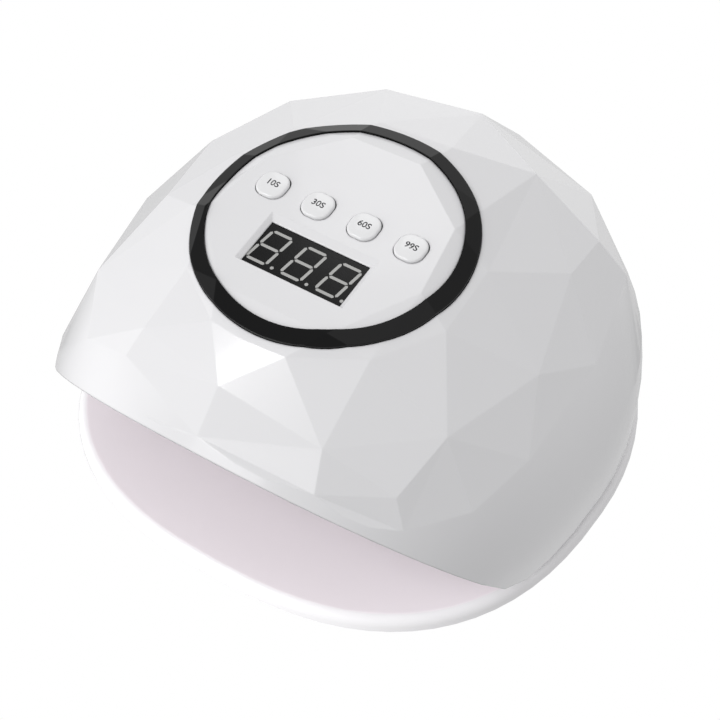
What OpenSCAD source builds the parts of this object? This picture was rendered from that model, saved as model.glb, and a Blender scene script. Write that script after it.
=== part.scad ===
// Desktop UV curing lamp: faceted hood with a timer panel, standing on a flat base tray.
// All sizes in millimetres, +Z up, the opening faces -Y, the origin is under the middle
// of the tray on the table.

/* [Hood outline] */

// Half width of the hood at its widest height
hood_half_width = 93; // [82:1:104]
// Reach of the hood forward of the middle, before the opening is cut
hood_front = 108; // [96:1:118]
// Reach of the hood behind the middle
hood_back = 99; // [88:1:110]
// Height of the domed top above the table
hood_top = 103; // [96:1:114]
// Height at which the hood is widest
widest_z = 22; // [18:1:28]
// Thickness of the hood's wall
wall = 2.4; // [2:0.1:3]

/* [Opening] */

// Height of the hood's lower edge at the sides
edge_z = 9.6; // [9.2:0.1:11]
// Distance forward of the middle at which the edge starts to rise
edge_start = 49.6; // [44:0.2:56]
// Drop of the opening's peak below the domed top
arch_drop = 36.2; // [32:0.2:42]
// Rounding where the edge turns upward
edge_round = 7.5; // [4:0.5:10]
// Height of the liner's lip showing under the edge
lip = 1.6; // [1.2:0.1:2]

/* [Panel] */

// Forward position of the ring's centre
ring_forward = 17.5; // [12:0.5:20]
// Drop of the ring's centre below the domed top
ring_drop = 2.3; // [2:0.1:4]
// Forward tilt of the panel in degrees
panel_tilt = 6.5; // [4:0.5:8]
// Outer radius of the black ring
ring_radius = 45.2; // [45:0.1:46]
// Width of the black ring
ring_width = 4.8; // [4:0.1:5.6]
// Height of the ring above the facets
ring_proud = 0.8; // [0.4:0.1:1.2]

/* [Display and buttons] */

// Width of the three-digit display
display_width = 37.6; // [30:0.1:40]
// Height of the three-digit display
display_height = 19; // [15:0.1:20]
// Thickness of the display body
display_depth = 8; // [7:0.1:8.4]
// Depth of the display's face below the panel
face_drop = 1.5; // [1.2:0.1:1.8]
// Cover of the window's edge over the display's rim
window_lip = 0.75; // [0.4:0.05:1]
// Side of a button cap
button_size = 9.9; // [9:0.1:12]
// Height of a button cap above the panel
button_proud = 1.2; // [0.8:0.1:1.6]
// Distance between button centres
button_pitch = 17; // [14.5:0.1:18]
// Gap around a button
button_gap = 0.3; // [0.2:0.05:0.4]
// Travel of a button
button_travel = 0.5; // [0.3:0.05:0.8]

/* [Base tray] */

// Reach of the tray beyond the hood's widest line at the sides
tray_side = 1; // [-1:0.5:4]
// Distance of the tray's front behind the hood's full front line
tray_front_step = 16.5; // [12:0.5:20]
// Distance of the tray's back ahead of the hood's back
tray_back_step = 6; // [0:0.5:7]
// Height of the tray's top above the table
tray_top = 8; // [7.8:0.1:8.2]
// Radius of the tray's rounded top edge
tray_round = 3.6; // [2:0.1:4]
// Height of the rubber feet below the tray
foot_height = 1.5; // [1:0.1:2]

/* [Inside] */

// Drop of the liner's top below the domed top
liner_drop = 27; // [26:0.5:29]
// Gap between hood and liner at the sides
liner_gap = 10; // [9.8:0.1:11]
// Gap between hood and liner at the back
liner_back_gap = 16; // [15.6:0.1:18]
// Height of the power inlet's centre
jack_z = 19.5; // [19:0.1:20]
// Thickness of the circuit boards
board = 1.6; // [1.2:0.1:1.8]
// Radius of an LED lens
lens_radius = 2.9; // [2.4:0.1:3.1]
// Radius of a holding magnet
magnet_radius = 2.5; // [2:0.1:2.6]
// Clearance between fixed parts
fit = 0.15; // [0.1:0.05:0.2]

/* [Hidden] */

$fn = 48;

// Shape of the outline (front, back) and of the dome's profile
front_n = 2.5;
back_n = 2;
profile_m = 2.7;
profile_k = 1.85;
liner_m = 3.5;
tray_n = 2.5;
tray_back_n = 2.1;
tuck = 0.012;

// Heights and reaches that follow from the hood
ring_z = hood_top - ring_drop;
liner_top = hood_top - liner_drop;
tray_half_width = hood_half_width + tray_side;
tray_front = hood_front - tray_front_step;
tray_back = hood_back - tray_back_step;

// The rounded band of the hood has this many steps around it
steps = 60;
turn = 360 / steps;
band = [1, 0.6, 0.28, 0];

// Panel corners from the ring's centre, in millimetres
panel_corners = [
    [37, -9], [33, 17], [10, 34], [-15, 33], [-34, 12], [-39, -14], [-19, -36], [21, -36]
];

// Facet corners as shares of the hood's half width and of its reach
upper_corners = [
    [-0.02, -0.60], [0.14, -0.59], [0.38, -0.48], [0.52, -0.28], [0.51, -0.04],
    [0.37, 0.15], [0.13, 0.33], [-0.15, 0.30], [-0.39, 0.14], [-0.51, -0.04],
    [-0.50, -0.27], [-0.34, -0.48], [-0.15, -0.59]
];
middle_corners = [
    [-0.02, -0.72], [0.38, -0.72], [0.68, -0.49], [0.79, -0.15], [0.69, 0.20],
    [0.39, 0.46], [0.06, 0.64], [-0.30, 0.57], [-0.58, 0.37], [-0.71, 0.08],
    [-0.65, -0.22], [-0.37, -0.66], [0.63, -0.68], [0.66, 0.45]
];
lower_corners = [
    [-0.02, -0.83], [0.41, -0.80], [0.68, -0.71], [0.82, -0.54], [0.88, -0.32],
    [0.88, 0.07], [0.75, 0.52], [0.45, 0.79], [0.08, 0.89], [-0.32, 0.83],
    [-0.66, 0.62], [-0.87, 0.30], [-0.90, -0.07], [-0.75, -0.47], [-0.60, -0.69],
    [-0.39, -0.73]
];
facet_corners = concat(upper_corners, middle_corners, lower_corners);

// First index of each group of corners
up = len(panel_corners);
mid = up + len(upper_corners);
low = mid + len(middle_corners);
base = low + len(lower_corners);

// Facets between panel and ring line, then outward to the band
panel_facets = [
    [6, up + 12, up], [6, up, 7], [7, up, up + 1], [7, up + 1, up + 2], [7, up + 2, 0],
    [0, up + 2, up + 3], [0, up + 3, up + 4], [0, up + 4, 1], [1, up + 4, up + 5],
    [1, up + 5, 2], [2, up + 5, up + 6], [2, up + 6, up + 7], [2, up + 7, 3],
    [3, up + 7, up + 8], [3, up + 8, 4], [4, up + 8, up + 9], [4, up + 9, up + 10],
    [4, up + 10, 5], [5, up + 10, up + 11], [5, up + 11, 6], [6, up + 11, up + 12]
];
upper_facets = [
    [up, mid, up + 1], [mid, mid + 1, up + 1], [up + 1, mid + 1, up + 2],
    [up + 2, mid + 1, mid + 2], [up + 2, mid + 2, up + 3], [up + 3, mid + 2, mid + 3],
    [up + 3, mid + 3, up + 4], [up + 4, mid + 3, mid + 4], [up + 4, mid + 4, mid + 5],
    [up + 4, mid + 5, up + 5], [up + 5, mid + 5, up + 6], [up + 6, mid + 5, mid + 6],
    [up + 6, mid + 6, up + 7], [up + 7, mid + 6, mid + 7], [up + 7, mid + 7, up + 8],
    [up + 8, mid + 7, mid + 8], [up + 8, mid + 8, up + 9], [up + 9, mid + 8, mid + 9],
    [up + 9, mid + 9, mid + 10], [up + 9, mid + 10, up + 10],
    [up + 10, mid + 10, low + 13], [up + 10, low + 13, up + 11],
    [up + 11, low + 13, mid + 11], [up + 11, mid + 11, up + 12],
    [up + 12, mid + 11, mid], [up + 12, mid, up]
];
lower_facets = [
    [mid + 11, low + 13, low + 14], [mid + 11, low + 14, low + 15],
    [mid + 11, low + 15, mid], [low + 15, low, mid], [mid, low, mid + 1],
    [low, low + 1, mid + 1], [mid + 1, low + 1, mid + 12], [mid + 1, mid + 12, mid + 2],
    [low + 1, low + 2, mid + 12], [mid + 12, low + 2, mid + 2],
    [mid + 2, low + 2, low + 3], [mid + 2, low + 3, low + 4], [mid + 2, low + 4, mid + 3],
    [mid + 3, low + 4, low + 5], [mid + 3, low + 5, mid + 4], [mid + 4, low + 5, mid + 13],
    [low + 5, low + 6, mid + 13], [mid + 4, mid + 13, mid + 5], [mid + 5, mid + 13, low + 7],
    [mid + 13, low + 6, low + 7], [mid + 5, low + 7, mid + 6], [mid + 6, low + 7, low + 8],
    [mid + 6, low + 8, mid + 7], [mid + 7, low + 8, low + 9], [mid + 7, low + 9, low + 10],
    [mid + 7, low + 10, mid + 8], [mid + 8, low + 10, low + 11],
    [mid + 8, low + 11, mid + 9], [mid + 9, low + 11, low + 12],
    [mid + 9, low + 12, mid + 10], [mid + 10, low + 12, low + 13]
];
facets = concat(panel_facets, upper_facets, lower_facets);
// Lowest corners in order around the hood
skirt = [for (k = [5 : 20]) k % 16];

// Signed power, and the level of a plan position: 0 at the middle, 1 at the outline
function spow(v, e) = sign(v) * pow(abs(v), e);
function side_n(f) = f < 0 ? front_n : back_n;
function reach(f) = f < 0 ? hood_front : hood_back;
function level(p) = pow(pow(abs(p[0]), side_n(p[1])) + pow(abs(p[1]), side_n(p[1])),
    1 / side_n(p[1]));
function corner_angle(p) = atan2(spow(p[1], side_n(p[1]) / 2), spow(p[0], side_n(p[1]) / 2));

// A point of the dome, moved inward by t: by plan share, or by angle and height
function corner_point(p, t) = [
    p[0] * (hood_half_width - t),
    p[1] * (reach(p[1]) - t),
    widest_z + (hood_top - t - widest_z) * pow(1 - pow(level(p), profile_m), 1 / profile_k)
];
function climb(z, t) = (z - widest_z) / (hood_top - t - widest_z);
function share(z, t) = z >= widest_z
    ? pow(1 - pow(min(1, climb(z, t)), profile_k), 1 / profile_m)
    : 1 - tuck * pow((widest_z - z) / widest_z, 2);
function dome_point(a, z, t) = [
    (hood_half_width - t) * share(z, t) * spow(cos(a), 2 / side_n(sin(a))),
    (reach(sin(a)) - t) * share(z, t) * spow(sin(a), 2 / side_n(sin(a))),
    z
];

// Height of the opening's edge, rising to its peak at the front
arch_z = hood_top - arch_drop;
edge_slope = (arch_z - edge_z) / (hood_front * share(arch_z, 0) - edge_start);
function rise(y) = (-edge_start - y) * edge_slope;
function opening_z(y) = edge_z + (rise(y) + norm([rise(y), edge_round])) / 2;
function edge_at(a, lo, hi, n) = n == 0 ? (lo + hi) / 2
    : (lo + hi) / 2 < opening_z(dome_point(a, (lo + hi) / 2, 0)[1])
        ? edge_at(a, (lo + hi) / 2, hi, n - 1)
        : edge_at(a, lo, (lo + hi) / 2, n - 1);
edges = [for (j = [0 : steps - 1]) edge_at(j * turn, 0, hood_top * 0.9, 24)];
edge_peak = max(edges);
function band_z(e, f) = e + f * (2.5 + 33 * pow(1 - e / (edge_peak + 1), 2));

// The panel's plane
panel_slope = tan(panel_tilt);
function panel_point(p, t) = [
    p[0], p[1] - ring_forward, ring_z - t + p[1] * panel_slope
];

// Closed surface of the hood, moved inward by t
function hood_points(t) = concat(
    [for (p = panel_corners) panel_point(p * (1 - t / hood_half_width), t)],
    [for (p = facet_corners) corner_point(p, t)],
    [for (f = band) for (j = [0 : steps - 1]) dome_point(j * turn, band_z(edges[j], f), t)]
);
function plan_turn(a, b, c) = (b[0] - a[0]) * (c[1] - a[1]) - (b[1] - a[1]) * (c[0] - a[0]);
flat_corners = hood_points(0);
function outward(f) = plan_turn(flat_corners[f[0]], flat_corners[f[1]], flat_corners[f[2]]) > 0
    ? [f[2], f[1], f[0]] : f;
function flip(f) = [for (k = [len(f) - 1 : -1 : 0]) f[k]];
function shift(f, n) = [for (k = f) k + n];
function band_point(k, j) = base + k * steps + j % steps;
function near_step(i) = let (a = corner_angle(lower_corners[skirt[i % 16]]))
    round((a < 0 ? a + 360 : a) / turn) + (i > 15 ? steps : 0);
function half_step(i) = floor((near_step(i) + near_step(i + 1)) / 2);
function skirt_corner(i) = low + skirt[i % 16];
skirt_facets = [
    for (i = [0 : 15]) each concat(
        [for (j = [near_step(i) : 1 : half_step(i) - 1])
            [skirt_corner(i), band_point(0, j + 1), band_point(0, j)]],
        [[skirt_corner(i), skirt_corner(i + 1), band_point(0, half_step(i))]],
        [for (j = [half_step(i) : 1 : near_step(i + 1) - 1])
            [skirt_corner(i + 1), band_point(0, j + 1), band_point(0, j)]]
    )
];
band_facets = [
    for (k = [0 : len(band) - 2]) for (j = [0 : steps - 1]) each [
        [band_point(k, j), band_point(k, j + 1), band_point(k + 1, j + 1)],
        [band_point(k, j), band_point(k + 1, j + 1), band_point(k + 1, j)]
    ]
];
skin = concat(
    [[7, 6, 5, 4, 3, 2, 1, 0]],
    [for (f = facets) outward(f)],
    skirt_facets,
    band_facets
);
count = base + len(band) * steps;
edge_row = len(band) - 1;
rim = [
    for (j = [0 : steps - 1]) each [
        [band_point(edge_row, j), band_point(edge_row, j + 1), band_point(edge_row, j + 1) + count],
        [band_point(edge_row, j), band_point(edge_row, j + 1) + count, band_point(edge_row, j) + count]
    ]
];

// Liner: lip against the hood's wall, flange, then the reflector dome
liner_wall = 2;
liner_low = 12;
lip_wall = 1.8;
flange_up = 0.6;
function liner_reach(f) = f < 0 ? hood_front - liner_gap : hood_back - liner_back_gap;
function liner_share(z, t) = z <= liner_low ? 1
    : pow(1 - pow(min(1, (z - liner_low) / (liner_top - t - liner_low)), 2), 1 / liner_m);
function liner_point(a, z, t) = [
    (hood_half_width - liner_gap - t) * liner_share(z, t) * spow(cos(a), 2 / side_n(sin(a))),
    (liner_reach(sin(a)) - t) * liner_share(z, t) * spow(sin(a), 2 / side_n(sin(a))),
    z
];
function liner_z(x, y) = let (p = [
    x / (hood_half_width - liner_gap),
    y / liner_reach(y)
]) liner_low + (liner_top - liner_low) * sqrt(1 - pow(level(p), liner_m));
liner_rise = [0.35, 0.68, 0.9, 0.985];
function liner_rows(t, low_z, out, cut) = [
    [for (j = [0 : steps - 1]) dome_point(j * turn, edges[j] - lip, out)],
    [for (j = [0 : steps - 1]) dome_point(j * turn, edges[j] + low_z, out + cut)],
    [for (j = [0 : steps - 1]) liner_point(j * turn, edges[j] + low_z, t)],
    each [for (f = liner_rise) [for (j = [0 : steps - 1])
        liner_point(j * turn, edges[j] + low_z + f * (liner_top - t - edges[j] - low_z), t)]]
];
function flat(rows) = [for (r = rows) each r];
outer_rows = liner_rows(0, flange_up + liner_wall, wall + fit, 2);
inner_rows = liner_rows(liner_wall, flange_up, wall + fit + lip_wall, 0);
rows = len(outer_rows);
row_count = rows * steps;
function row_point(k, j) = k * steps + j % steps;
liner_skin = concat(
    [for (k = [0 : rows - 2]) for (j = [0 : steps - 1]) each [
        [row_point(k + 1, j), row_point(k + 1, j + 1), row_point(k, j + 1)],
        [row_point(k + 1, j), row_point(k, j + 1), row_point(k, j)]
    ]],
    [for (j = [0 : steps - 1]) [row_count, row_point(rows - 1, j + 1), row_point(rows - 1, j)]]
);
liner_rim = [
    for (j = [0 : steps - 1]) each [
        [row_point(0, j), row_point(0, j + 1), row_point(0, j + 1) + row_count + 1],
        [row_point(0, j), row_point(0, j + 1) + row_count + 1, row_point(0, j) + row_count + 1]
    ]
];

// Tray outline and its rounded edge
function tray_reach(f) = f < 0 ? tray_front : tray_back;
function tray_power(f) = 2 / (f < 0 ? tray_n : tray_back_n);
function tray_point(a, inset, z) = [
    (tray_half_width - inset) * spow(cos(a), tray_power(sin(a))),
    (tray_reach(sin(a)) - inset) * spow(sin(a), tray_power(sin(a))),
    z
];
tray_steps = 72;
tray_rows = [
    [0.8, foot_height],
    [0, foot_height + 0.8],
    each [for (b = [0 : 22.5 : 90])
        [tray_round * (1 - cos(b)), tray_top - tray_round * (1 - sin(b))]]
];
function tray_outline(inset) = [
    for (j = [0 : tray_steps - 1]) let (p = tray_point(j * 360 / tray_steps, inset, 0)) [p[0], p[1]]
];

// Fits worked out from the sizes above
display_y = -16.4;
button_y = 3.9;
button_round = button_size * 0.39;
button_flange = button_size + 2.4;
flange_top = -wall - button_gap;
flange_floor = flange_top - 0.8;
board_top = -face_drop - display_depth - 0.2;
switch_height = 3.5;
switch_top = board_top + switch_height;
plunger_radius = 1.7;
plunger_bore = plunger_radius + 0.3;
plunger_top = switch_top + 1.9;
boss_spots = [[-31, -12], [31, -12], [-22, 16], [22, 16]];
boss_radius = 2.6;
screw_radius = 1.1;
screw_hole = screw_radius + 0.05;
head_radius = 2;
head_height = 1.3;
button_xs = [-1.5, -0.5, 0.5, 1.5] * button_pitch;

led_board_z = liner_top + 1.5;
led_spots = [for (x = [-40, -20, 0, 20, 40]) for (y = [-30, 0, 30]) [x, y]];
led_posts = [[-30, -15], [30, -15], [-30, 15], [30, 15]];
lens_hole = lens_radius + fit;
side_led_z = 34;
side_led_gap = 15;
side_board_x = hood_half_width - liner_gap;
back_board_y = hood_back - liner_back_gap + 1.6;
side_board = [board, 40, 16];

tie_angles = [0, 45, 75, 105, 135, 180];
tie_inset = liner_gap - 3.1;
tie_radius = 2.6;
tie_top = side_led_z - side_board[2] / 2 - 1;
tie_base = edge_z + flange_up + liner_wall + 0.4;
magnet_angles = [22, 60, 120, 158, 188, 352];
magnet_height = 2;
magnet_pocket = magnet_radius + fit / 2;
function tie_spot(a) = [
    (hood_half_width - tie_inset) * cos(a), (reach(sin(a)) - tie_inset) * sin(a)
];
// The magnets stand further in at the back, where the tray is shorter than the hood
magnet_back = 4;
function magnet_spot(a) = [
    (hood_half_width - tie_inset) * cos(a),
    (reach(sin(a)) - tie_inset - (sin(a) > 0 ? magnet_back : 0)) * sin(a)
];

jack_depth = 12;
jack_y = hood_back - wall - 0.4 - jack_depth;
jack_face = hood_back - 0.5;
jack_bore = 2.9;
jack_radius = 4;
pin_radius = 1;
pin_root = 0.7;

cover_thick = 1.6;
tray_wall = 3;
tray_skin = 2.5;
foot_radius = 6;
foot_inset = 16;
foot_spots = [for (a = [45 : 90 : 315]) tray_point(a, foot_inset, 0)];
cover_screws = concat(
    [for (x = [-30, 30]) for (y = [21.5 - tray_front, tray_back - 19]) [x, y]],
    [for (s = [-1, 1]) [s * (tray_half_width - 16), 0]]
);

sensor_x = 12;
sensor_y = -0.74 * hood_front;
sensor_radius = 1.5;
sensor_floor = edge_peak - 0.6;

digit_w = 7.2;
digit_h = 12.3;
stroke = 1.05;

// The whole lamp is centred front to back on its own length
hood_ys = [for (p = flat_corners) p[1]];
centre_y = (max(hood_ys) + min(hood_ys)) / 2;

module placed() {
    translate([0, -centre_y, 0]) children();
}

module on_panel() {
    translate([0, -ring_forward, ring_z]) rotate([panel_tilt, 0, 0]) children();
}

module rounded_square(size, radius) {
    inner = size / 2 - radius;
    square([size, 2 * inner], center = true);
    square([2 * inner, size], center = true);
    for (x = [-inner, inner]) for (y = [-inner, inner]) translate([x, y]) circle(radius);
}

module facet_cap(t, drop) {
    top = [for (k = [0 : base - 1]) hood_points(t)[k] + [0, 0, -drop]];
    low_corners = [for (i = [0 : 15]) skirt_corner(i)];
    points = concat(top, [[0, 0, 40]]);
    polyhedron(points, concat(
        [[7, 6, 5, 4, 3, 2, 1, 0]],
        [for (f = facets) outward(f)],
        [for (i = [0 : 15]) [low_corners[i], low_corners[(i + 1) % 16], base]]
    ));
}

module ring_band(outer, inner) {
    on_panel() difference() {
        translate([0, 0, -9]) cylinder(r = outer, h = 14);
        translate([0, 0, -10]) cylinder(r = inner, h = 16);
    }
}

module display_window() {
    w = display_width / 2 - window_lip;
    h = display_height / 2 - window_lip;
    on_panel() translate([0, display_y, 0]) {
        translate([-display_width / 2 - fit, -display_height / 2 - fit, -wall - 1.4])
            cube([display_width + 2 * fit, display_height + 2 * fit, wall + 1.4 - face_drop]);
        translate([-w, -h, -wall]) cube([2 * w, 2 * h, wall - face_drop + 0.4]);
        polyhedron(
            [
                [-w, -h, 0.3 - face_drop], [w, -h, 0.3 - face_drop],
                [w, h, 0.3 - face_drop], [-w, h, 0.3 - face_drop],
                [-w - 1.8, -h - 0.4, 0.1], [w + 1.8, -h - 0.4, 0.1],
                [w + 1.8, h + 3, 0.1], [-w - 1.8, h + 3, 0.1]
            ],
            [
                [0, 1, 2, 3], [4, 7, 6, 5],
                [0, 4, 5, 1], [1, 5, 6, 2], [2, 6, 7, 3], [3, 7, 4, 0]
            ]
        );
    }
}

module hood_tie(a) {
    p = tie_spot(a);
    translate([p[0], p[1], tie_base]) cylinder(r = tie_radius, h = tie_top - tie_base);
    translate([p[0], p[1], tie_base]) rotate([0, 0, atan2(p[1], p[0])])
        translate([0, -1, 0]) cube([tie_inset - 1.3, 2, tie_top - tie_base - 1.3]);
}

module top_shell() {
    placed() color([0.93, 0.93, 0.94]) difference() {
        union() {
            polyhedron(
                concat(hood_points(0), hood_points(wall)),
                concat(skin, [for (f = skin) flip(shift(f, count))], rim)
            );
            for (p = boss_spots) on_panel() translate([p[0], p[1], board_top])
                cylinder(r = boss_radius, h = -board_top - 1);
            for (a = tie_angles) hood_tie(a);
        }
        difference() {
            ring_band(ring_radius + fit, ring_radius - ring_width - fit);
            facet_cap(0, 1.2);
        }
        display_window();
        on_panel() for (x = button_xs) translate([x, button_y, -wall - 2])
            linear_extrude(height = wall + 4)
                rounded_square(button_size + 2 * button_gap, button_round + button_gap);
        for (p = boss_spots) on_panel() translate([p[0], p[1], board_top - 1])
            cylinder(r = screw_hole, h = 7.5);
        for (a = tie_angles) translate(concat(tie_spot(a), [tie_base - 1]))
            cylinder(r = screw_hole, h = 12);
        translate([0, jack_y + jack_depth - 1, jack_z]) rotate([-90, 0, 0])
            cylinder(r = jack_radius + fit, h = 30);
    }
}

module ring_trim() {
    placed() color([0.02, 0.02, 0.025]) difference() {
        intersection() {
            ring_band(ring_radius, ring_radius - ring_width);
            facet_cap(0, -ring_proud);
        }
        facet_cap(0, 1.1);
    }
}

module liner() {
    placed() color([0.9, 0.9, 0.91]) difference() {
        union() {
            polyhedron(
                concat(flat(outer_rows), [[0, 0, liner_top]], flat(inner_rows),
                    [[0, 0, liner_top - liner_wall]]),
                concat(liner_skin, [for (f = liner_skin) flip(shift(f, row_count + 1))], liner_rim)
            );
            for (p = led_posts) translate([p[0], p[1], liner_z(p[0], p[1]) - 1.2])
                cylinder(r = 2.6, h = led_board_z - liner_z(p[0], p[1]) + 1.2);
            for (a = magnet_angles) translate(concat(magnet_spot(a), [tray_top + 0.1]))
                cylinder(r = magnet_radius + 0.7, h = edge_z + 2 - tray_top);
        }
        for (p = led_spots) translate([p[0], p[1], 50]) cylinder(r = lens_hole, h = 40);
        for (p = led_posts) translate([p[0], p[1], led_board_z - 3.6])
            cylinder(r = screw_hole, h = 5);
        for (s = [-1, 1]) for (k = [-1, 0, 1])
            translate([s * (side_board_x - 14), k * side_led_gap, side_led_z])
                rotate([0, s * 90, 0]) cylinder(r = lens_hole, h = 14);
        for (k = [-1, 0, 1]) translate([k * side_led_gap, back_board_y - 14, side_led_z])
            rotate([-90, 0, 0]) cylinder(r = lens_hole, h = 14);
        for (a = magnet_angles) translate(concat(magnet_spot(a), [tray_top - 1]))
            cylinder(r = magnet_pocket, h = magnet_height + 1.1);
        for (a = tie_angles) translate(concat(tie_spot(a), [tray_top]))
            cylinder(r = screw_radius + 0.25, h = 8);
        for (x = [-sensor_x, sensor_x]) translate([x, sensor_y, 50])
            cylinder(r = sensor_radius + fit, h = 30);
    }
}

module display_module() {
    placed() color([0.03, 0.03, 0.035]) on_panel() difference() {
        translate([
            -display_width / 2, display_y - display_height / 2, -face_drop - 0.1 - display_depth
        ]) cube([display_width, display_height, display_depth]);
        for (k = [-1, 0, 1]) digit(k, 0.3, 0.02);
    }
}

module segment_bar(length, width) {
    polygon([
        [-length / 2, 0], [-length / 2 + width / 2, width / 2], [length / 2 - width / 2, width / 2],
        [length / 2, 0], [length / 2 - width / 2, -width / 2], [-length / 2 + width / 2, -width / 2]
    ]);
}

module digit_shape() {
    for (y = [-digit_h / 2, 0, digit_h / 2]) translate([y * 0.16, y])
        segment_bar(digit_w - 0.5, stroke);
    for (x = [-digit_w / 2, digit_w / 2]) for (y = [-digit_h / 4, digit_h / 4])
        translate([x + y * 0.16, y]) rotate(81) segment_bar(digit_h / 2 - 0.5, stroke);
    translate([digit_w / 2 + 1.5, -digit_h / 2]) circle(0.6);
}

module digit(k, sunk, grow) {
    translate([k * 12.7 - 0.6, display_y, -face_drop - 0.1 - sunk])
        linear_extrude(height = sunk + grow) digit_shape();
}

module display_segments() {
    placed() color([0.62, 0.62, 0.62]) on_panel() for (k = [-1, 0, 1]) digit(k, 0.28, -0.02);
}

module control_board() {
    placed() color([0.05, 0.32, 0.16]) on_panel() difference() {
        translate([-37, -30, board_top - board]) cube([74, 50, board]);
        for (p = boss_spots) translate([p[0], p[1], board_top - board - 1])
            cylinder(r = screw_radius + 0.2, h = board + 2);
    }
}

module board_parts() {
    placed() color([0.12, 0.12, 0.13]) on_panel() {
        translate([-display_width / 2 - 9.2, -8, board_top]) cube([8, 5, 1.6]);
        translate([display_width / 2 + 1.2, -8, board_top]) cube([5, 4, 1.6]);
        translate([-6, 12, board_top]) cube([12, 5, 5]);
        for (x = [-16, 12]) translate([x + 2, 15, board_top]) cylinder(r = 3, h = 6.5);
        translate([-34.5, -27, board_top]) cube([6, 10, 3]);
        translate([28.5, -27, board_top]) cube([6, 10, 3]);
    }
}

module switch_bodies() {
    placed() color([0.2, 0.2, 0.22]) on_panel() for (x = button_xs) translate([x, button_y, board_top])
        difference() {
            translate([-3, -3, 0]) cube([6, 6, switch_height]);
            translate([0, 0, switch_height - 1.6]) cylinder(r = plunger_bore, h = 3);
        }
}

module board_screws() {
    placed() color([0.7, 0.71, 0.72]) on_panel() for (p = boss_spots)
        translate([p[0], p[1], board_top - board - head_height]) {
            cylinder(r = head_radius, h = head_height);
            cylinder(r = screw_radius, h = head_height + board + 5.5);
        }
}

module button(k) {
    placed() color([0.95, 0.95, 0.96]) on_panel() translate([button_xs[k], button_y, 0]) {
        translate([0, 0, flange_floor]) linear_extrude(height = button_proud - 0.3 - flange_floor)
            rounded_square(button_size, button_round);
        translate([0, 0, button_proud - 0.3]) linear_extrude(height = 0.3)
            rounded_square(button_size - 0.6, button_round - 0.3);
        translate([0, 0, flange_floor]) linear_extrude(height = flange_top - flange_floor)
            rounded_square(button_flange, button_round + 1.2);
        translate([0, 0, plunger_top]) cylinder(r = 2.4, h = flange_floor - plunger_top);
    }
}

module plunger(k) {
    placed() color([0.1, 0.1, 0.1]) on_panel() translate([button_xs[k], button_y, switch_top - 0.6])
        cylinder(r = plunger_radius, h = plunger_top - switch_top + 0.6);
}

module button_10s() { button(0); }
module button_30s() { button(1); }
module button_60s() { button(2); }
module button_99s() { button(3); }
module plunger_10s() { plunger(0); }
module plunger_30s() { plunger(1); }
module plunger_60s() { plunger(2); }
module plunger_99s() { plunger(3); }

module led_board_top() {
    placed() color([0.85, 0.86, 0.85]) difference() {
        translate([-48, -38, led_board_z]) cube([96, 76, board]);
        for (p = led_posts) translate([p[0], p[1], led_board_z - 1])
            cylinder(r = screw_radius + 0.2, h = board + 2);
    }
}

module led_board_screws() {
    placed() color([0.7, 0.71, 0.72]) for (p = led_posts)
        translate([p[0], p[1], led_board_z + board]) {
            cylinder(r = head_radius, h = head_height);
            translate([0, 0, -board - 3]) cylinder(r = screw_radius, h = board + 3.2);
        }
}

module lenses_top() {
    placed() color([0.75, 0.72, 0.95]) for (p = led_spots) {
        floor_z = liner_z(p[0], p[1]) - liner_wall - 1.6;
        translate([p[0], p[1], floor_z]) cylinder(r = lens_radius, h = led_board_z - floor_z);
        translate([p[0], p[1], floor_z]) sphere(lens_radius * 0.7);
    }
}

module side_board() {
    translate([side_board_x, -side_board[1] / 2, side_led_z - side_board[2] / 2]) cube(side_board);
}

module side_lenses() {
    for (k = [-1, 0, 1]) translate([side_board_x, k * side_led_gap, side_led_z])
        rotate([0, -90, 0]) cylinder(r = lens_radius, h = 7.5);
}

module led_board_left() { placed() color([0.85, 0.86, 0.85]) mirror([1, 0, 0]) side_board(); }
module led_board_right() { placed() color([0.85, 0.86, 0.85]) side_board(); }
module lenses_left() { placed() color([0.75, 0.72, 0.95]) mirror([1, 0, 0]) side_lenses(); }
module lenses_right() { placed() color([0.75, 0.72, 0.95]) side_lenses(); }

module led_board_back() {
    placed() color([0.85, 0.86, 0.85])
        translate([-side_board[1] / 2, back_board_y, side_led_z - side_board[2] / 2])
            cube([side_board[1], board, side_board[2]]);
}

module lenses_back() {
    placed() color([0.75, 0.72, 0.95]) for (k = [-1, 0, 1])
        translate([k * side_led_gap, back_board_y, side_led_z])
            rotate([90, 0, 0]) cylinder(r = lens_radius, h = 7.5);
}

module dc_jack() {
    placed() color([0.04, 0.04, 0.045]) difference() {
        union() {
            translate([-4.5, jack_y, jack_z - 5.5]) cube([9, jack_depth, 11]);
            translate([0, jack_y + jack_depth, jack_z]) rotate([-90, 0, 0])
                cylinder(r = jack_radius, h = jack_face - jack_y - jack_depth);
        }
        translate([0, jack_y + 4, jack_z]) rotate([-90, 0, 0]) cylinder(r = jack_bore, h = 30);
        translate([0, jack_y + 2, jack_z]) rotate([-90, 0, 0]) cylinder(r = pin_root, h = 30);
    }
}

module jack_pin() {
    placed() color([0.8, 0.78, 0.7]) translate([0, jack_y, jack_z]) rotate([-90, 0, 0]) {
        translate([0, 0, 4]) cylinder(r = pin_radius, h = jack_face - jack_y - 4 - 1.4);
        translate([0, 0, 2]) cylinder(r = pin_root, h = 3);
    }
}

module jack_contacts() {
    placed() color([0.8, 0.78, 0.7]) for (x = [-2.5, 1.5])
        translate([x, jack_y + 5, jack_z + 5.5]) cube([1, 3, 2.5]);
}

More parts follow.
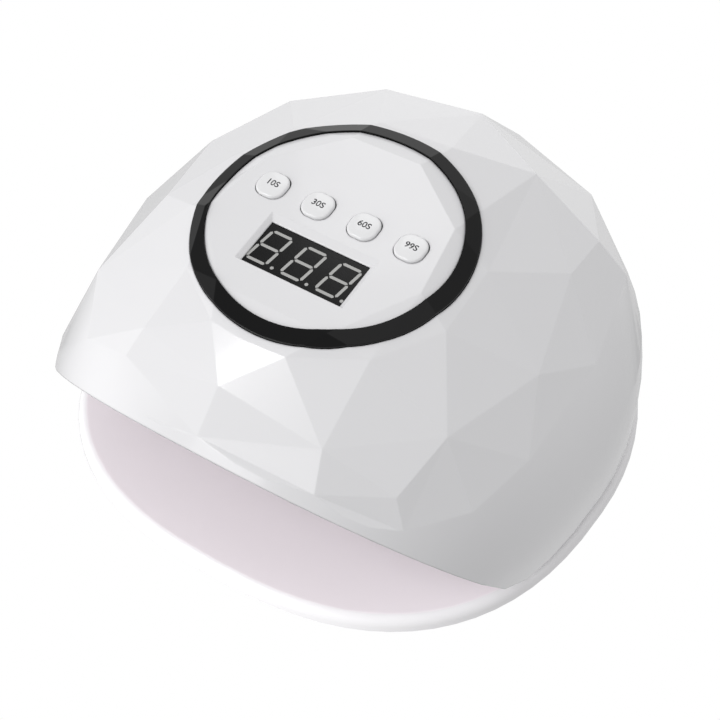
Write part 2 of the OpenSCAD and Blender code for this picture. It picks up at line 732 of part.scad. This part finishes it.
module hood_screws() {
    placed() color([0.7, 0.71, 0.72]) for (a = tie_angles)
        translate(concat(tie_spot(a), [edge_z + flange_up - head_height])) {
            cylinder(r = head_radius, h = head_height);
            cylinder(r = screw_radius, h = head_height + liner_wall + 8);
        }
}

module hood_magnets() {
    placed() color([0.6, 0.6, 0.62]) for (a = magnet_angles)
        translate(concat(magnet_spot(a), [tray_top])) cylinder(r = magnet_radius, h = magnet_height);
}

module tray_magnets() {
    placed() color([0.6, 0.6, 0.62]) for (a = magnet_angles)
        translate(concat(magnet_spot(a), [tray_top - magnet_height]))
            cylinder(r = magnet_radius, h = magnet_height);
}

module presence_sensors() {
    placed() color([0.06, 0.05, 0.08]) for (x = [-sensor_x, sensor_x])
        translate([x, sensor_y, sensor_floor]) {
            sphere(sensor_radius);
            cylinder(r = sensor_radius, h = 6);
        }
}

module wire(points, radius) {
    for (k = [0 : len(points) - 2]) {
        a = points[k];
        d = points[k + 1] - a;
        translate(a) rotate([0, acos(d[2] / norm(d)), atan2(d[1], d[0])])
            cylinder(r = radius * 0.9, h = norm(d));
        translate(a) sphere(radius);
    }
    translate(points[len(points) - 1]) sphere(radius);
}

module wire_loom() {
    placed() color([0.75, 0.1, 0.08]) {
        for (x = [-2, 2]) wire([
            [x, hood_back - 8.5, jack_z + 8.8], [x, hood_back - 9.5, jack_z + 24.5],
            [x, hood_back - 17, (jack_z + ring_z - 2.3) / 2], [x, hood_back - 30, ring_z - 26.8],
            [x, 48, ring_z - 14.8], [x, 6, ring_z - 9]
        ], 0.8);
        wire([
            [24, 5.8, ring_z - 9.4], [24, 14, ring_z - 12.8],
            [24, 24, led_board_z + board + 0.8]
        ], 0.8);
        for (s = [-1, 1]) wire([
            [s * 38, -20, ring_z - 11.8], [s * 56, -14, ring_z - 18.8],
            [s * (side_board_x - 10), -2, ring_z - 38.8],
            [s * (side_board_x + 0.8), 0, side_led_z + side_board[2] / 2 + 0.8]
        ], 0.8);
    }
}

module base_tray() {
    tray_points = [for (r = tray_rows) for (j = [0 : tray_steps - 1])
        tray_point(j * 360 / tray_steps, r[0], r[1])];
    last = (len(tray_rows) - 1) * tray_steps;
    placed() color([0.92, 0.9, 0.91]) difference() {
        polyhedron(
            tray_points,
            concat(
                [[for (j = [0 : tray_steps - 1]) j]],
                [[for (j = [tray_steps - 1 : -1 : 0]) last + j]],
                [for (k = [0 : len(tray_rows) - 2]) for (j = [0 : tray_steps - 1]) each [
                    [
                        (k + 1) * tray_steps + j,
                        (k + 1) * tray_steps + (j + 1) % tray_steps,
                        k * tray_steps + (j + 1) % tray_steps
                    ],
                    [
                        (k + 1) * tray_steps + j,
                        k * tray_steps + (j + 1) % tray_steps,
                        k * tray_steps + j
                    ]
                ]]
            )
        );
        difference() {
            translate([0, 0, foot_height - 1])
                linear_extrude(height = tray_top - tray_skin - foot_height + 1)
                    polygon(tray_outline(tray_wall));
            for (p = cover_screws) translate([p[0], p[1], foot_height + cover_thick])
                cylinder(r = 3, h = 9);
            for (a = magnet_angles) translate(concat(magnet_spot(a), [foot_height + cover_thick]))
                cylinder(r = magnet_radius + 1.2, h = 9);
        }
        for (p = cover_screws) translate([p[0], p[1], foot_height]) cylinder(r = screw_hole, h = 4.6);
        for (a = magnet_angles) translate(concat(magnet_spot(a), [tray_top - magnet_height]))
            cylinder(r = magnet_pocket, h = magnet_height + 1);
    }
}

module tray_cover() {
    placed() color([0.88, 0.88, 0.89]) difference() {
        translate([0, 0, foot_height]) linear_extrude(height = cover_thick)
            polygon(tray_outline(tray_wall + fit));
        for (p = cover_screws) translate([p[0], p[1], foot_height - 1]) {
            cylinder(r = screw_radius + 0.2, h = cover_thick + 2);
            cylinder(r = head_radius + 0.2, h = 1.8);
        }
        for (p = foot_spots) translate([p[0], p[1], foot_height - 1])
            cylinder(r = foot_radius + fit, h = 1.6);
    }
}

module tray_screws() {
    placed() color([0.7, 0.71, 0.72]) for (p = cover_screws) translate([p[0], p[1], foot_height + 0.1]) {
        cylinder(r = head_radius, h = 0.7);
        cylinder(r = screw_radius, h = 4.3);
    }
}

module rubber_feet() {
    placed() color([0.08, 0.08, 0.08]) for (p = foot_spots) translate([p[0], p[1], 0])
        cylinder(r = foot_radius, h = foot_height + 0.6);
}

base_tray();
tray_cover();
rubber_feet();
tray_magnets();
tray_screws();
top_shell();
ring_trim();
liner();
display_module();
display_segments();
control_board();
board_parts();
switch_bodies();
board_screws();
button_10s();
button_30s();
button_60s();
button_99s();
plunger_10s();
plunger_30s();
plunger_60s();
plunger_99s();
led_board_top();
led_board_left();
led_board_right();
led_board_back();
lenses_top();
lenses_left();
lenses_right();
lenses_back();
dc_jack();
jack_pin();
jack_contacts();
hood_screws();
hood_magnets();
led_board_screws();
presence_sensors();
wire_loom();
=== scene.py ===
"""Looks of the desktop UV curing lamp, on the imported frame. Lengths in metres."""
import math

import bpy
import numpy as np
from mathutils import Matrix, Vector


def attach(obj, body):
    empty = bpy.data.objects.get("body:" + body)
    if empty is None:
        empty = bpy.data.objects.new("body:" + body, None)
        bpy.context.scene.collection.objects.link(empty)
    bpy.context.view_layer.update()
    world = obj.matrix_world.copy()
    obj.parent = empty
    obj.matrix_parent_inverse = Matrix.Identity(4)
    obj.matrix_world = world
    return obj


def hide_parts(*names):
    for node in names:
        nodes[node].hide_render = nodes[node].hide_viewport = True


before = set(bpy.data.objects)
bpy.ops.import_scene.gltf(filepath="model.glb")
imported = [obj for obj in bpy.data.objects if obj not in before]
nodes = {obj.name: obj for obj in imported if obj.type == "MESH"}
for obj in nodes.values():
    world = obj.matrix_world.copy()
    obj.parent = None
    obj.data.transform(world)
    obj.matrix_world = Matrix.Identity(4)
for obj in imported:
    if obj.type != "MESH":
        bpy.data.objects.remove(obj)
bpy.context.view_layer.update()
scene = bpy.context.scene

MM = 0.001

# Where the CAD puts the hood's middle, and the dome's own sizes
SHIFT_Y = -3.1794 * MM
HALF_WIDTH = 93 * MM
FRONT = 108 * MM
BACK = 99 * MM
TOP = 103 * MM
WIDEST = 22 * MM
WALL = 2.4 * MM
TUCK = 0.012
PLAN_FRONT = 2.5
PLAN_BACK = 2.0
PROFILE_M = 2.7
PROFILE_K = 1.85
RING_FORWARD = 17.5 * MM
RING_Z = 100.7 * MM
TILT = math.radians(6.5)
BUTTON_Y = 3.9 * MM
BUTTON_PITCH = 17 * MM
BUTTON_SIZE = 9.9 * MM
BUTTON_PROUD = 1.2 * MM
BUTTON_ROUND = 0.39
CAP_DEPTH = 3.2 * MM
CAP_FILLET = 0.7 * MM
CAP_CROWN = 0.12 * MM
LEGEND_SIZE = 3.1 * MM


# ---------------------------------------------------------------- materials

def new_material(name):
    """A new material, its node tree and its shader."""
    mat = bpy.data.materials.new(name)
    mat.use_nodes = True
    return mat, mat.node_tree, mat.node_tree.nodes["Principled BSDF"]


def node(tree, kind, **values):
    """A new node; each value sets the input of that name, or else the property."""
    made = tree.nodes.new(kind)
    for key, value in values.items():
        if key in made.inputs:
            made.inputs[key].default_value = value
        else:
            setattr(made, key, value)
    return made


def grain(tree, scale, detail=3.0):
    """Noise in the object's own space; the object's units are metres."""
    coords = node(tree, "ShaderNodeTexCoord")
    noise = node(tree, "ShaderNodeTexNoise", Scale=scale, Detail=detail)
    tree.links.new(coords.outputs["Object"], noise.inputs["Vector"])
    return noise


def ranged(tree, source, low, high):
    """A 0 to 1 output stretched to run from low to high."""
    remap = node(tree, "ShaderNodeMapRange")
    remap.inputs["To Min"].default_value = low
    remap.inputs["To Max"].default_value = high
    tree.links.new(source, remap.inputs["Value"])
    return remap.outputs["Result"]


def plastic(name, colour, rough, spread=0.05, tone=0.02, bump=0.02, scale=900.0,
            edge=0.0, coat=0.0):
    """Moulded plastic: fine bump, a little wander in colour and roughness, softened edges."""
    mat, tree, shader = new_material(name)
    broad = grain(tree, scale * 0.08, 4.0)
    fine = grain(tree, scale, 2.0)
    mix = node(tree, "ShaderNodeMix", data_type="RGBA")
    mix.inputs[6].default_value = (*colour, 1)
    shade = [c * (1 - tone * 2) for c in colour]
    mix.inputs[7].default_value = (*shade, 1)
    tree.links.new(broad.outputs["Fac"], mix.inputs[0])
    tree.links.new(mix.outputs[2], shader.inputs["Base Color"])
    tree.links.new(ranged(tree, broad.outputs["Fac"], rough - spread, rough + spread),
                   shader.inputs["Roughness"])
    dent = node(tree, "ShaderNodeBump", Strength=bump, Distance=0.0002)
    tree.links.new(fine.outputs["Fac"], dent.inputs["Height"])
    if edge:
        soft = node(tree, "ShaderNodeBevel", Radius=edge, samples=6)
        tree.links.new(soft.outputs["Normal"], dent.inputs["Normal"])
    tree.links.new(dent.outputs["Normal"], shader.inputs["Normal"])
    shader.inputs["Coat Weight"].default_value = coat
    shader.inputs["Coat Roughness"].default_value = 0.06
    return mat


def metal(name, colour, rough):
    """Bare metal with a fine wander in roughness."""
    mat, tree, shader = new_material(name)
    streak = grain(tree, 1500.0)
    shader.inputs["Metallic"].default_value = 1.0
    shader.inputs["Base Color"].default_value = (*colour, 1)
    tree.links.new(ranged(tree, streak.outputs["Fac"], rough * 0.7, rough * 1.3),
                   shader.inputs["Roughness"])
    return mat


def put(names, mat):
    """Gives CAD nodes one material."""
    for name in names:
        nodes[name].data.materials.clear()
        nodes[name].data.materials.append(mat)


shell_white = plastic("shell_white", (0.80, 0.797, 0.812), 0.2, 0.03, 0.008, 0.015,
                      edge=0.7 * MM, coat=0.35)
liner_white = plastic("liner_white", (0.84, 0.835, 0.85), 0.24, coat=0.2)
ring_black = plastic("ring_black", (0.001, 0.001, 0.0012), 0.08, 0.03, bump=0.01,
                     edge=0.25 * MM)
ring_black.node_tree.nodes["Principled BSDF"].inputs["Specular IOR Level"].default_value = 0.28
display_black = plastic("display_black", (0.003, 0.003, 0.0035), 0.16)
display_black.node_tree.nodes["Principled BSDF"].inputs["Specular IOR Level"].default_value = 0.25
segment_grey = plastic("segment_grey", (0.44, 0.44, 0.43), 0.45)
board_green = plastic("board_green", (0.02, 0.16, 0.06), 0.4)
board_white = plastic("board_white", (0.78, 0.79, 0.78), 0.45)
part_black = plastic("part_black", (0.02, 0.02, 0.021), 0.5)
foot_grey = plastic("foot_grey", (0.30, 0.30, 0.31), 0.8, bump=0.3, scale=2500.0)
wire_red = plastic("wire_red", (0.5, 0.02, 0.015), 0.45)
cap_white = plastic("cap_white", (0.84, 0.84, 0.85), 0.22, 0.03, 0.01, 0.015, coat=0.3)
legend_ink = plastic("legend_ink", (0.03, 0.03, 0.035), 0.5)
steel = metal("steel", (0.62, 0.62, 0.63), 0.3)
nickel = metal("nickel", (0.75, 0.73, 0.7), 0.15)

tray_paint, tree, shader = new_material("tray_paint")
coords = node(tree, "ShaderNodeTexCoord")
split = node(tree, "ShaderNodeSeparateXYZ")
tree.links.new(coords.outputs["Object"], split.inputs[0])
level = node(tree, "ShaderNodeMapRange", interpolation_type="SMOOTHSTEP")
level.inputs["From Min"].default_value = 7.75 * MM
level.inputs["From Max"].default_value = 7.97 * MM
tree.links.new(split.outputs["Z"], level.inputs["Value"])
blotch = grain(tree, 14.0, 3.0)
pink = node(tree, "ShaderNodeMix", data_type="RGBA")
pink.inputs[6].default_value = (0.86, 0.80, 0.835, 1)
pink.inputs[7].default_value = (0.84, 0.78, 0.815, 1)
tree.links.new(blotch.outputs["Fac"], pink.inputs[0])
both = node(tree, "ShaderNodeMix", data_type="RGBA")
both.inputs[6].default_value = (0.84, 0.83, 0.845, 1)
tree.links.new(level.outputs["Result"], both.inputs[0])
tree.links.new(pink.outputs[2], both.inputs[7])
tree.links.new(both.outputs[2], shader.inputs["Base Color"])
tree.links.new(ranged(tree, level.outputs["Result"], 0.2, 0.42), shader.inputs["Roughness"])
fine = grain(tree, 1600.0, 2.0)
dent = node(tree, "ShaderNodeBump", Strength=0.04, Distance=0.0002)
tree.links.new(fine.outputs["Fac"], dent.inputs["Height"])
tree.links.new(dent.outputs["Normal"], shader.inputs["Normal"])

lens_clear, tree, shader = new_material("lens_clear")
cloud = grain(tree, 600.0)
shader.inputs["Base Color"].default_value = (0.82, 0.8, 0.93, 1)
shader.inputs["Transmission Weight"].default_value = 0.8
shader.inputs["IOR"].default_value = 1.49
tree.links.new(ranged(tree, cloud.outputs["Fac"], 0.05, 0.2), shader.inputs["Roughness"])

put(["liner"], liner_white)
put(["ring_trim"], ring_black)
put(["display_module"], display_black)
put(["display_segments"], segment_grey)
put(["control_board"], board_green)
put(["board_parts", "switch_bodies", "dc_jack", "presence_sensors"], part_black)
put(["plunger_10s", "plunger_30s", "plunger_60s", "plunger_99s"], part_black)
put(["led_board_top", "led_board_left", "led_board_right", "led_board_back"], board_white)
put(["lenses_top", "lenses_left", "lenses_right", "lenses_back"], lens_clear)
put(["board_screws", "led_board_screws", "hood_screws", "tray_screws"], steel)
put(["jack_pin", "jack_contacts", "hood_magnets", "tray_magnets"], nickel)
put(["wire_loom"], wire_red)
put(["base_tray"], tray_paint)
put(["tray_cover"], board_white)
put(["rubber_feet"], foot_grey)


# ---------------------------------------------------------------- smooth CAD surfaces

def soften(name, angle):
    """Rounded surfaces of a CAD node shade smoothly; its real edges stay sharp."""
    obj = nodes[name]
    weld = obj.modifiers.new("weld", "WELD")
    weld.merge_threshold = 1e-6
    split_edges = obj.modifiers.new("split", "EDGE_SPLIT")
    split_edges.split_angle = math.radians(angle)
    split_edges.use_edge_sharp = False
    obj.modifiers.new("weighted", "WEIGHTED_NORMAL")
    for face in obj.data.polygons:
        face.use_smooth = True


for name in ("base_tray", "liner", "tray_cover"):
    soften(name, 34)


# ---------------------------------------------------------------- the hood

def dome_normals(points, inset):
    """Outward normals of the hood's curved surface, moved inward by inset, at each point."""
    x, y, z = points[:, 0], points[:, 1] - SHIFT_Y, points[:, 2]
    n = np.where(y < 0, PLAN_FRONT, PLAN_BACK)
    u = x / (HALF_WIDTH - inset)
    v = y / (np.where(y < 0, FRONT, BACK) - inset)
    level = np.maximum((np.abs(u) ** n + np.abs(v) ** n) ** (1 / n), 1e-4)
    height = TOP - inset - WIDEST
    climb = np.clip((z - WIDEST) / height, 0, 1)
    pull = np.where(z > WIDEST, PROFILE_M * level ** (PROFILE_M - 1), 1.0)
    dx = pull * level ** (1 - n) * np.abs(u) ** (n - 1) * np.sign(u) / (HALF_WIDTH - inset)
    dy = pull * level ** (1 - n) * np.abs(v) ** (n - 1) * np.sign(v)
    dy = dy / (np.where(y < 0, FRONT, BACK) - inset)
    dz = np.where(z > WIDEST, PROFILE_K * climb ** (PROFILE_K - 1) / height,
                  -2 * TUCK * (WIDEST - z) / WIDEST ** 2)
    out = np.stack([dx, dy, dz], 1)
    return out / np.linalg.norm(out, axis=1, keepdims=True)


def inside(polygon, points):
    """Which plan points lie inside a plan polygon."""
    hit = np.zeros(len(points), bool)
    for a, b in zip(polygon, np.roll(polygon, -1, axis=0)):
        across = (a[1] > points[:, 1]) != (b[1] > points[:, 1])
        with np.errstate(divide="ignore", invalid="ignore"):
            at = (b[0] - a[0]) * (points[:, 1] - a[1]) / (b[1] - a[1]) + a[0]
        hit ^= across & (points[:, 0] < at)
    return hit


# The lowest facet corners, as shares of half width and reach: the smooth band starts there
LOWEST = np.array([
    (-0.02, -0.83), (0.41, -0.80), (0.68, -0.71), (0.82, -0.54), (0.88, -0.32), (0.88, 0.07),
    (0.75, 0.52), (0.45, 0.79), (0.08, 0.89), (-0.32, 0.83), (-0.66, 0.62), (-0.87, 0.30),
    (-0.90, -0.07), (-0.75, -0.47), (-0.60, -0.69), (-0.39, -0.73),
])


def hood_skin():
    """The shell with flat facets above and a smoothly shaded band below."""
    mesh = nodes["top_shell"].data.copy()
    obj = bpy.data.objects.new("hood_skin", mesh)
    scene.collection.objects.link(obj)
    count = len(mesh.polygons)
    centre = np.zeros(count * 3)
    mesh.polygons.foreach_get("center", centre)
    centre = centre.reshape(-1, 3)
    flat = np.zeros(count * 3)
    mesh.polygons.foreach_get("normal", flat)
    flat = flat.reshape(-1, 3)
    reach = np.where(LOWEST[:, 1] < 0, FRONT, BACK)
    edge = np.stack([LOWEST[:, 0] * HALF_WIDTH, LOWEST[:, 1] * reach + SHIFT_Y], 1)
    low = ~inside(edge * 0.998, centre[:, :2])
    facing = (dome_normals(centre, 0.0) * flat).sum(1)
    curved = low & (np.abs(facing) > 0.93)
    normals = np.zeros((len(mesh.loops), 3))
    for face in mesh.polygons:
        span = slice(face.loop_start, face.loop_start + face.loop_total)
        face.use_smooth = True
        if curved[face.index]:
            corners = np.array([mesh.vertices[v].co for v in face.vertices])
            side = math.copysign(1.0, facing[face.index])
            normals[span] = side * dome_normals(corners, 0.0 if side > 0 else WALL)
        else:
            normals[span] = flat[face.index]
    mesh.normals_split_custom_set(normals.tolist())
    mesh.materials.clear()
    mesh.materials.append(shell_white)
    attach(obj, "hood")
    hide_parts("top_shell")
    return obj


hood_skin()


# ---------------------------------------------------------------- the buttons

PANEL = (Matrix.Translation((0, SHIFT_Y - RING_FORWARD, RING_Z))
         @ Matrix.Rotation(TILT, 4, "X"))


def rounded_loop(half, radius, z, per_corner=8):
    """A rounded square's outline at height z."""
    corners = [(1, 1, 0), (-1, 1, 90), (-1, -1, 180), (1, -1, 270)]
    inner = half - radius
    return [(sx * inner + radius * math.cos(math.radians(start + 90 * k / per_corner)),
             sy * inner + radius * math.sin(math.radians(start + 90 * k / per_corner)), z)
            for sx, sy, start in corners for k in range(per_corner + 1)]


def cap(index, body):
    """A button cap: straight sides, a rounded rim and a faintly crowned top."""
    half, shoulder = BUTTON_SIZE / 2, BUTTON_PROUD - CAP_FILLET - CAP_CROWN
    rings = [(half, -CAP_DEPTH), (half, shoulder)]
    rings += [(half - CAP_FILLET * (1 - math.cos(a)), shoulder + CAP_FILLET * math.sin(a))
              for a in np.radians([18, 36, 54, 72, 88])]
    rings += [(half * 0.6, BUTTON_PROUD - CAP_CROWN / 3), (half * 0.25, BUTTON_PROUD - CAP_CROWN / 12)]
    points, faces, loop = [], [], 36
    for size, z in rings:
        points += rounded_loop(size, BUTTON_ROUND * 2 * size, z)
    for k in range(len(rings) - 1):
        for j in range(loop):
            a, b = k * loop + j, k * loop + (j + 1) % loop
            faces.append((a, b, b + loop, a + loop))
    faces.append(tuple(range((len(rings) - 1) * loop, len(rings) * loop)))
    faces.append(tuple(reversed(range(loop))))
    mesh = bpy.data.meshes.new("cap_" + body)
    mesh.from_pydata(points, [], faces)
    obj = bpy.data.objects.new("cap_" + body, mesh)
    scene.collection.objects.link(obj)
    for face in mesh.polygons:
        face.use_smooth = True
    mesh.materials.append(cap_white)
    x = (index - 1.5) * BUTTON_PITCH
    mesh.transform(PANEL @ Matrix.Translation((x, BUTTON_Y, 0)))
    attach(obj, body)
    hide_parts(body)


def legend(index, text, body):
    """A small printed label on a cap."""
    curve = bpy.data.curves.new("legend_" + text, "FONT")
    curve.body = text
    curve.size = LEGEND_SIZE
    curve.align_x = "CENTER"
    curve.align_y = "CENTER"
    curve.extrude = 0.01 * MM
    curve.offset = 0.06 * MM
    maker = bpy.data.objects.new("maker_" + text, curve)
    scene.collection.objects.link(maker)
    bpy.context.view_layer.update()
    mesh = bpy.data.meshes.new_from_object(maker)
    bpy.data.objects.remove(maker)
    obj = bpy.data.objects.new("legend_" + text, mesh)
    scene.collection.objects.link(obj)
    mesh.materials.clear()
    mesh.materials.append(legend_ink)
    x = (index - 1.5) * BUTTON_PITCH
    mesh.transform(PANEL @ Matrix.Translation((x, BUTTON_Y + 0.2 * MM, BUTTON_PROUD - 0.02 * MM)))
    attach(obj, body)


for index, seconds in enumerate(("10", "30", "60", "99")):
    cap(index, f"button_{seconds}s")
    legend(index, seconds + "S", f"button_{seconds}s")


# ---------------------------------------------------------------- light and camera

world = bpy.data.worlds.new("studio")
scene.world = world
world.use_nodes = True
tree = world.node_tree
back = tree.nodes["Background"]
coords = node(tree, "ShaderNodeTexCoord")


def step(operation, source, value):
    """A maths node fed by one output and by a number or a second output."""
    maths = node(tree, "ShaderNodeMath", operation=operation)
    tree.links.new(source, maths.inputs[0])
    if isinstance(value, float):
        maths.inputs[1].default_value = value
    else:
        tree.links.new(value, maths.inputs[1])
    return maths.outputs[0]


# An even room, brighter towards each of these directions
room = None
for way, strength in (((-0.3, 0.95, 0), 0.9), ((0, 0, -1), 0.9), ((0.84, 0.54, 0), 0.6),
                      ((-0.84, -0.54, 0), 1.45), ((0.27, 0.03, 0.96), 0.6)):
    lean = node(tree, "ShaderNodeVectorMath", operation="DOT_PRODUCT")
    lean.inputs[1].default_value = Vector(way).normalized()
    tree.links.new(coords.outputs["Generated"], lean.inputs[0])
    lobe = step("POWER", step("MAXIMUM", lean.outputs["Value"], 0.0), 6.0)
    lobe = step("MULTIPLY", lobe, strength)
    room = step("ADD", lobe, 0.4) if room is None else step("ADD", lobe, room)
path = node(tree, "ShaderNodeLightPath")
pick = node(tree, "ShaderNodeMix", data_type="FLOAT")
tree.links.new(path.outputs["Is Camera Ray"], pick.inputs[0])
tree.links.new(room, pick.inputs[2])
pick.inputs[3].default_value = 1.0
back.inputs["Color"].default_value = (1, 1, 1, 1)
tree.links.new(pick.outputs[0], back.inputs["Strength"])


def direction(azimuth, elevation):
    """The unit vector from the lamp's middle; azimuth 0 is the front, both in degrees."""
    a, e = math.radians(azimuth), math.radians(elevation)
    return Vector((math.sin(a) * math.cos(e), -math.cos(a) * math.cos(e), math.sin(e)))


def softbox(name, azimuth, elevation, distance, size, power, target=(0, 0, 0.05)):
    data = bpy.data.lights.new(name, "AREA")
    data.shape = "RECTANGLE"
    data.size, data.size_y = size
    data.energy = power
    lamp = bpy.data.objects.new(name, data)
    scene.collection.objects.link(lamp)
    back_way = direction(azimuth, elevation)
    lamp.location = Vector(target) + back_way * distance
    lamp.rotation_euler = back_way.to_track_quat("Z", "Y").to_euler()
    return lamp


softbox("key", -30, 45, 1.5, (0.5, 0.5), 6.6)
softbox("low", -15, 18, 1.5, (0.5, 0.5), 1.4)
softbox("rim", -150, 50, 1.5, (0.5, 0.5), 1.3)

# A soft glow under the front edge, for the tray and the cavity only
under = softbox("under", -5, 22, 0.6, (0.3, 0.12), 1.4, (0, -0.05, 0.02))
lit = bpy.data.collections.new("lit")
lit.objects.link(nodes["base_tray"])
lit.objects.link(nodes["liner"])
under.light_linking.receiver_collection = lit

camera_data = bpy.data.cameras.new("camera")
camera_data.sensor_width = 36
camera_data.lens = 99.45
camera_data.dof.use_dof = False
camera = bpy.data.objects.new("camera", camera_data)
scene.collection.objects.link(camera)
camera_distance = 0.678
target = Vector((-0.2 * MM, -2.6 * MM + SHIFT_Y, 23.6 * MM))
away = direction(33.0, 48.75)
camera.location = target + away * camera_distance
camera.rotation_euler = away.to_track_quat("Z", "Y").to_euler()
scene.camera = camera
scene.view_settings.view_transform = "Standard"
